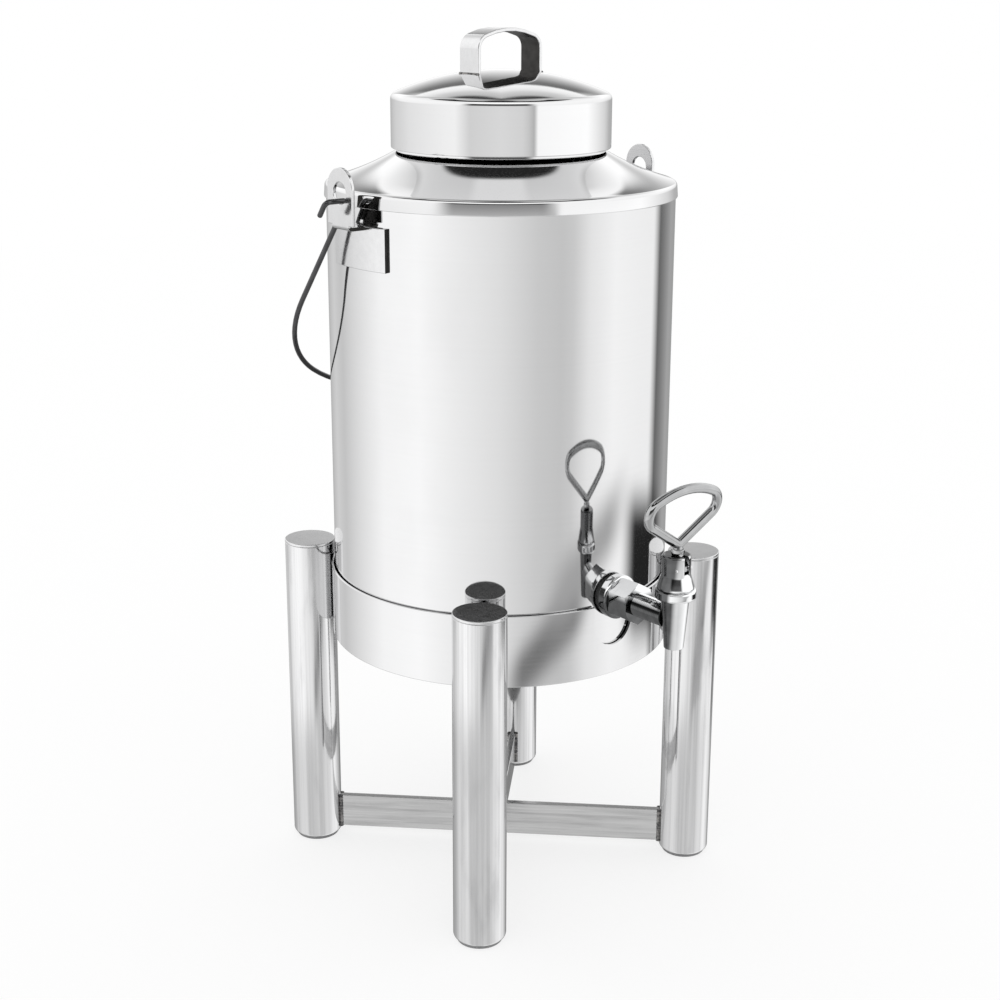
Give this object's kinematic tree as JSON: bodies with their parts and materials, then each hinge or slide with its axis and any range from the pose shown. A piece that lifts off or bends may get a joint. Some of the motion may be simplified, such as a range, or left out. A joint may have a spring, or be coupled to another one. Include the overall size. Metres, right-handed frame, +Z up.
{
  "type": "milk dispenser",
  "caption": "Polished steel milk churn with a domed lift-off lid, a wire bail and a self-closing loop-lever tap, seated in a ring on tube legs with cross bars.",
  "frame": {"origin": "on the floor, on the upright axis of the vessel", "axes": "+Z up along the vessel's axis, the tap faces -Y, the bail's ears lie along X"},
  "size_m": [0.2884, 0.3112, 0.5942],
  "materials": {
    "polished_steel": "mirror polished stainless steel",
    "inner_steel": "satin stainless steel",
    "bail_steel": "drawn stainless wire",
    "tap_plating": "bright plated",
    "spring_steel": "drawn spring wire",
    "seal_rubber": "moulded food-grade rubber",
    "glide_plastic": "moulded nylon"
  },
  "bodies": {
    "stand": {"leg_front_left": "polished_steel", "leg_front_right": "polished_steel", "leg_rear_left": "polished_steel", "leg_rear_right": "polished_steel", "leg_cap_front_left": "polished_steel", "leg_cap_front_right": "polished_steel", "leg_cap_rear_left": "polished_steel", "leg_cap_rear_right": "polished_steel", "foot_glide_front_left": "glide_plastic", "foot_glide_front_right": "glide_plastic", "foot_glide_rear_left": "glide_plastic", "foot_glide_rear_right": "glide_plastic", "support_ring": "polished_steel", "seat_ledge": "inner_steel", "cross_bar_lower": "polished_steel", "cross_bar_upper": "polished_steel"},
    "vessel": {"vessel_wall": "polished_steel", "vessel_floor": "inner_steel", "shoulder": "polished_steel", "neck_ring": "inner_steel", "ear_left": "polished_steel", "ear_right": "polished_steel", "tap_body": "tap_plating", "tap_outer_seal": "seal_rubber", "tap_flange": "tap_plating", "tap_nut": "tap_plating", "tap_inner_seal": "seal_rubber", "tap_lock_nut": "tap_plating", "union_ring": "tap_plating", "bonnet": "tap_plating", "lever_pin": "tap_plating", "tap_spring": "spring_steel"},
    "lid": {"lid_shell": "polished_steel", "lid_handle": "polished_steel", "lid_gasket": "seal_rubber"},
    "bail": {"bail_wire": "bail_steel"},
    "lever": {"loop_lever": "tap_plating"},
    "valve": {"valve_stem": "tap_plating", "stem_pin": "tap_plating", "seat_cup": "seal_rubber"}
  },
  "joints": [
    {"name": "vessel_lift", "type": "slide", "parent": "stand", "child": "vessel", "axis": [0, 0, 1], "range_m": [0, 0.1]},
    {"name": "lid_lift", "type": "slide", "parent": "vessel", "child": "lid", "axis": [0, 0, 1], "range_m": [0, 0.09]},
    {"name": "bail_swing", "type": "hinge", "parent": "vessel", "child": "bail", "pos_m": [0, 0, 0.49005], "axis": [1, 0, 0], "range_deg": [0, 284]},
    {"name": "lever_tilt", "type": "hinge", "parent": "vessel", "child": "lever", "pos_m": [0, -0.182, 0.2653], "axis": [1, 0, 0], "range_deg": [0, 30], "stiffness_Nm_per_rad": 0.3, "springref_deg": -11.46},
    {"name": "valve_lift", "type": "slide", "parent": "vessel", "child": "valve", "axis": [0, 0, 1], "range_m": [0, 0.00305], "deforming": ["tap_spring"]}
  ],
  "couplings": [
    {"joint": "valve_lift", "follows": "lever_tilt", "m_per_rad": 0.00573}
  ]
}
